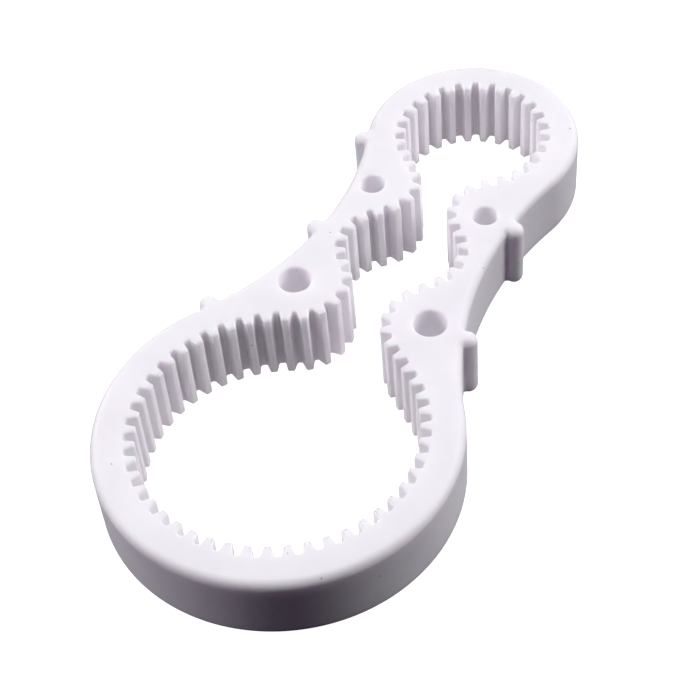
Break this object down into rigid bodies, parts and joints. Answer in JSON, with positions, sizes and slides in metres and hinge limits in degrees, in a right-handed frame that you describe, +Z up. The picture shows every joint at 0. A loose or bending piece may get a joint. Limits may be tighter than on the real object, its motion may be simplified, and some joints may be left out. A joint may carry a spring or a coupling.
{
  "type": "closed-loop internal rack",
  "caption": "Flat plastic track whose inner wall carries rack teeth all round: a wide ring and a small loop joined by a lobed channel for a pinion to roll through.",
  "frame": {"origin": "centre of the outline's box, on the flat underside", "axes": "+Z up through the thickness; +Y along the length, from the wide ring towards the small loop; +X towards the side with fewer lugs"},
  "size_m": [0.061, 0.1262, 0.0136],
  "materials": {
    "white_plastic": "satin"
  },
  "bodies": {
    "root": {"closed_loop_rack": "white_plastic"}
  },
  "joints": []
}
